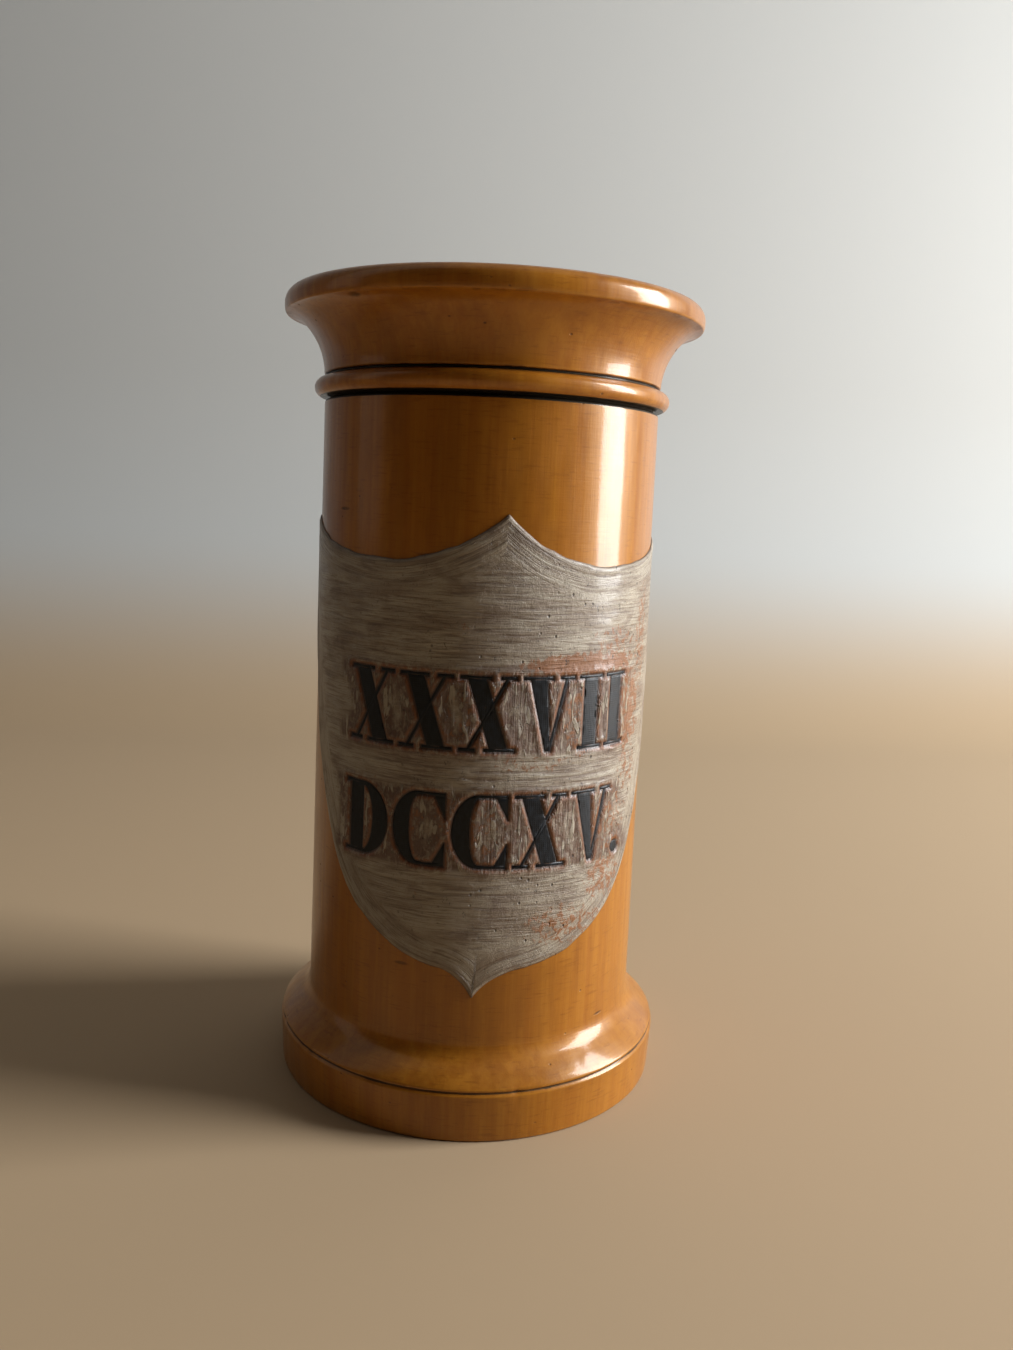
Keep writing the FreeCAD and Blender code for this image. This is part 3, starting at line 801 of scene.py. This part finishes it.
def brushed_ground():
    """Old grey-taupe oil paint, laid on with a stiff brush and rubbed through.

    Strokes are broad and wandering: level, but upright between the numerals and along the
    outline near it. A brown glaze clouds it, wood shows where it is worn, each numeral
    has a dark outline with a rusty edge, and small pits and scores are scattered.
    """
    mix = Finish("brushed_ground")
    flat = mix.attribute("flat", "Vector")
    across, up, rim = mix.node("ShaderNodeSeparateXYZ", {"Vector": flat}).outputs
    gap = mix.attribute("gap")
    turn = mix.attribute("turn")
    worn = mix.attribute("worn")
    plane = mix.node("ShaderNodeCombineXYZ", {"X": across, "Y": up}).outputs[0]
    skirting = mix.node("ShaderNodeCombineXYZ", {
        "X": mix.attribute("travelled"), "Y": rim, "Z": 40.0}).outputs[0]
    follow = mix.between(rim, 9.5, 4.5)

    def brushed(low, high, detail, twist, move):
        """Stretched noise: level, but upright where turn says and along the outline."""
        level, upright, round_edge = [
            mix.noise(mix.stretched(vector, scale, move), detail=detail, roughness=0.62,
                      distortion=twist)
            for vector, scale in ((plane, (low, high, 1)), (plane, (high, low, 1)),
                                  (skirting, (low, high, 1)))]
        inner = mix.node("ShaderNodeMix", {0: turn, 2: level, 3: upright}).outputs[0]
        return mix.node("ShaderNodeMix", {0: follow, 2: inner, 3: round_edge}).outputs[0]

    broad = brushed(0.045, 0.26, 4, 0.5, (3, 1, 0))
    strokes = brushed(0.075, 1.15, 5, 0.35, (9, 5, 0))
    hairs = brushed(0.14, 4.6, 3, 0.15, (1, 8, 0))
    blotches = mix.noise(mix.stretched(plane, (0.10, 0.14, 1)), detail=5, roughness=0.62,
                         distortion=0.5)
    ragged = mix.noise(mix.stretched(plane, (0.62, 0.50, 1)), detail=6, roughness=0.70,
                       distortion=0.4)
    colour = mix.blend(mix.between(broad, 0.36, 0.62), GROUND_MID, GROUND_PALE)
    colour = mix.blend(mix.between(strokes, 0.50, 0.38, 0.0, 0.60), colour, GROUND_BROWN)
    colour = mix.blend(mix.between(strokes, 0.56, 0.66, 0.0, 0.65), colour, GROUND_PALE)
    colour = mix.blend(mix.between(hairs, 0.52, 0.62, 0.0, 0.50), colour, GROUND_BROWN)
    colour = mix.blend(mix.between(hairs, 0.44, 0.34, 0.0, 0.42), colour, GROUND_PALE)
    colour = mix.blend(mix.between(blotches, 0.50, 0.72, 0.0, 0.5), colour, MAUVE_GLAZE)
    inner = mix.sums("MULTIPLY", turn, mix.between(ragged, 0.36, 0.54, 0.25, 0.95))
    beside = mix.sums("MULTIPLY", mix.between(gap, 3.2, 0.6),
                      mix.between(ragged, 0.40, 0.60, 0.10, 0.7))
    colour = mix.blend(mix.sums("MAXIMUM", inner, beside), colour, MAUVE_GLAZE)
    ground_left = mix.sums("ADD", mix.sums("MULTIPLY", worn, 0.34), ragged)
    bare = mix.between(ground_left, 0.64, 0.76)
    colour = mix.blend(mix.sums("MULTIPLY", bare, 0.9), colour, BARE_WOOD)
    drips = mix.noise(mix.stretched(plane, (0.80, 0.17, 1), (4, 2, 0)), detail=3,
                      roughness=0.5, distortion=0.8)
    ridge = mix.sums("MULTIPLY", turn, mix.between(drips, 0.56, 0.62))
    colour = mix.blend(mix.sums("MULTIPLY", ridge, 0.85), colour, GROUND_PALE)
    rust = mix.sums("MULTIPLY", mix.between(gap, 1.5, 0.5),
                    mix.between(ragged, 0.36, 0.56, 0.1, 0.85))
    colour = mix.blend(rust, colour, (0.20, 0.062, 0.011))
    outline = mix.between(gap, 0.55, 0.2)
    colour = mix.blend(mix.sums("MULTIPLY", outline, 0.9), colour, (0.045, 0.015, 0.006))
    border = mix.between(rim, 0.5, 0.05, 0.0, 0.75)
    colour = mix.blend(border, colour, (0.12, 0.062, 0.03))
    thick = mix.between(mix.noise(mix.stretched(plane, (0.05, 0.06, 1), (7, 3, 0)),
                                  detail=2), 0.34, 0.52)
    thick = mix.sums("MULTIPLY", thick, mix.between(across, -40.0, 25.0, 0.35, 1.0))
    round_pits = mix.spots(mix.stretched(plane, (1.0, 0.8, 1)), 0.52, 0.20, 0.30, 1.7)
    scores = mix.between(mix.noise(mix.stretched(plane, (1.5, 0.75, 1), (2, 6, 0)), detail=2,
                                   roughness=0.6, distortion=1.6), 0.66, 0.70)
    pits = mix.sums("MULTIPLY", mix.sums("MAXIMUM", round_pits, scores), thick)
    colour = mix.blend(mix.sums("MULTIPLY", pits, 0.85), colour, PIT)
    roughness = mix.between(blotches, 0.3, 0.7, 0.36, 0.50)
    grit = mix.noise(mix.stretched(plane, (3.0, 3.0, 1)), detail=4, roughness=0.7)
    normal = mix.relief(strokes, 0.00060, 0.8)
    normal = mix.relief(ridge, 0.00035, 1.0, normal)
    normal = mix.relief(hairs, 0.00016, 0.7, normal)
    normal = mix.relief(ragged, 0.00040, 0.7, normal)
    normal = mix.relief(grit, 0.00012, 0.6, normal)
    normal = mix.relief(mix.sums("SUBTRACT", 1.0, pits), 0.00025, 1.0, normal)
    return mix.finish(colour, roughness, normal, Coat_Weight=0.3, Coat_Roughness=0.2)


def black_numeral_paint():
    """Thick blue-black oil paint with the tooth of a woven cloth and rubbed brown flecks."""
    mix = Finish("black_numeral_paint")
    flat = mix.attribute("flat", "Vector")
    weave_up = mix.node("ShaderNodeTexWave", {
        "Vector": flat, "Scale": 0.62, "Distortion": 1.6, "Detail": 2.0,
        "Detail Scale": 1.5}, bands_direction="X").outputs["Fac"]
    weave_across = mix.node("ShaderNodeTexWave", {
        "Vector": flat, "Scale": 0.62, "Distortion": 1.6, "Detail": 2.0,
        "Detail Scale": 1.5}, bands_direction="Y").outputs["Fac"]
    weave = mix.sums("MAXIMUM", weave_up, weave_across)
    rub = mix.noise(mix.stretched(flat, (0.9, 0.5, 0)), detail=5, roughness=0.7)
    colour = mix.blend(mix.between(rub, 0.35, 0.7), (0.003, 0.004, 0.006),
                       (0.009, 0.013, 0.018))
    rubbed_through = mix.between(rub, 0.69, 0.76)
    colour = mix.blend(mix.sums("MULTIPLY", rubbed_through, 0.7), colour, (0.10, 0.04, 0.012))
    roughness = mix.between(rub, 0.3, 0.7, 0.32, 0.48)
    normal = mix.relief(weave, 0.00005, 0.5)
    normal = mix.relief(rub, 0.00010, 0.5, normal)
    return mix.finish(colour, roughness, normal, Specular_IOR_Level=0.3)


# ---------------------------------------------------------------- the jar

JAR_MARKS = (
    (-17, 5.6, 1.3, 1.1, 0.22),
    (-8, 6.4, 0.7, 0.6, 0.18),
    (4, 3.6, 1.5, 0.45, 0.25),
    (10, 12.4, 0.8, 0.7, 0.35),
    (31, 15.4, 1.0, 0.8, 0.14),
    (62, 8.0, 2.4, 2.2, 0.16),
    (118, 4.0, 2.6, 1.6, 0.22),
    (171, 13.0, 1.4, 1.0, 0.35),
    (205, 60.0, 3.4, 5.2, 0.12),
    (232, 7.5, 1.6, 1.2, 0.24),
    (148, 120.0, 2.6, 4.4, 0.10),
    (284, 12.3, 1.0, 0.8, 0.35),
)
LID_MARKS = (
    (-34, 193.2, 1.6, 0.7, 0.30),
    (22, 198.6, 1.3, 0.8, 0.20),
    (37, 196.0, 1.0, 0.7, 0.18),
    (96, 198.8, 2.0, 0.9, 0.28),
    (160, 195.4, 1.8, 1.2, 0.24),
    (250, 198.4, 1.5, 0.9, 0.26),
    (300, 176.2, 1.2, 0.8, 0.14),
)

wood = polished_fruitwood()
turned_piece("turned_jar", JAR_OUTLINE, 270, JAR_MARKS, wood, "jar", ("jar_body",))
turned_piece("turned_lid", LID_OUTLINE, 230, LID_MARKS, wood, "lid", ("lid",))
shield_piece(brushed_ground())
black = black_numeral_paint()
for row_name, row_polygons in ROWS.items():
    ink_piece(row_name, row_polygons, black)


# ---------------------------------------------------------------- stage, light and camera


def pale_sweep():
    """A plain sand-pale floor that curves up into a plain whiter wall well behind the jar.

    The section runs back along Y, turns up through a quarter circle and goes on upright.
    """
    mix = Finish("pale_sweep")
    level = mix.node("ShaderNodeSeparateXYZ", {"Vector": mix.places()}).outputs[2]
    colour = mix.blend(mix.between(level, 0.0, 0.12), (0.40, 0.285, 0.170),
                       (0.44, 0.445, 0.43))
    mix.tree.links.new(colour, mix.shader.inputs["Base Color"])
    mix.shader.inputs["Roughness"].default_value = 0.85
    bend, wall, reach = 0.25, 0.62, 3.0
    turns = np.linspace(0, math.pi / 2, 24)
    section = [(-reach, 0.0)]
    section += [(wall - bend + bend * math.sin(t), bend - bend * math.cos(t)) for t in turns]
    section += [(wall, 2.2)]
    corners = [(side * reach, y, z) for y, z in section for side in (-1, 1)]
    faces = [(k, k + 1, k + 3, k + 2) for k in range(0, len(corners) - 2, 2)]
    mesh = bpy.data.meshes.new("pale_sweep")
    mesh.from_pydata(corners, [], faces)
    mesh.polygons.foreach_set("use_smooth", np.ones(len(faces), bool))
    mesh.materials.append(mix.material)
    sweep = bpy.data.objects.new("pale_sweep", mesh)
    bpy.context.scene.collection.objects.link(sweep)


def panel(name, azimuth, distance, height, width, tall, power, colour):
    """An upright soft light panel, azimuth degrees round from the shield, facing the jar."""
    light = bpy.data.lights.new(name, "AREA")
    light.shape = "RECTANGLE"
    light.size = width
    light.size_y = tall
    light.energy = power
    light.color = colour
    lamp = bpy.data.objects.new(name, light)
    angle = math.radians(azimuth)
    lamp.location = (distance * math.sin(angle), -distance * math.cos(angle), height)
    aim = Vector((0, 0, 0.11)) - Vector(lamp.location)
    lamp.rotation_euler = aim.to_track_quat("-Z", "Y").to_euler()
    bpy.context.scene.collection.objects.link(lamp)


def dim_room():
    """The air around: pale beside and behind the jar, and dim on the side it is seen from."""
    world = bpy.data.worlds.new("dim_room")
    world.use_nodes = True
    tree = world.node_tree
    direction = tree.nodes.new("ShaderNodeTexCoord").outputs["Generated"]
    towards = tree.nodes.new("ShaderNodeVectorMath")
    towards.operation = "DOT_PRODUCT"
    towards.inputs[1].default_value = (0.078, 0.997, 0.0)
    tree.links.new(direction, towards.inputs[0])
    fade = tree.nodes.new("ShaderNodeMapRange")
    fade.interpolation_type = "SMOOTHSTEP"
    fade.inputs["From Min"].default_value = -0.30
    fade.inputs["From Max"].default_value = -0.17
    fade.inputs["To Min"].default_value = 0.018
    fade.inputs["To Max"].default_value = 0.38
    tree.links.new(towards.outputs["Value"], fade.inputs["Value"])
    back = tree.nodes["Background"]
    back.inputs["Color"].default_value = (1.0, 0.92, 0.82, 1)
    tree.links.new(fade.outputs[0], back.inputs["Strength"])
    bpy.context.scene.world = world


def eye():
    """The camera, 15 cm over the table and close in front.

    It stands at an azimuth just left of the shield's middle, tilts down, turns slightly
    and is rolled a few degrees, as a hand-held camera is.
    """
    azimuth, distance, height = -4.5, 0.28965, 0.1505
    tilt, turn, roll = 9.076, -1.341, 2.596
    lens, sensor = 29.33, 36.0
    camera = bpy.data.cameras.new("eye")
    camera.lens = lens
    camera.sensor_width = sensor
    camera.clip_start = 0.01
    seat = bpy.data.objects.new("eye", camera)
    angle = math.radians(azimuth)
    facing = (Matrix.Rotation(angle, 4, "Z")
              @ Matrix.Rotation(math.radians(turn), 4, "Z")
              @ Matrix.Rotation(math.radians(90 - tilt), 4, "X")
              @ Matrix.Rotation(math.radians(roll), 4, "Z"))
    place = (distance * math.sin(angle), -distance * math.cos(angle), height)
    seat.matrix_world = Matrix.Translation(place) @ facing
    bpy.context.scene.collection.objects.link(seat)
    bpy.context.scene.camera = seat


pale_sweep()
dim_room()
panel("window", 84.5, 1.2, 0.52, 0.50, 1.04, 38, (0.95, 0.975, 1.0))
eye()
bpy.context.scene.view_settings.view_transform = "Standard"
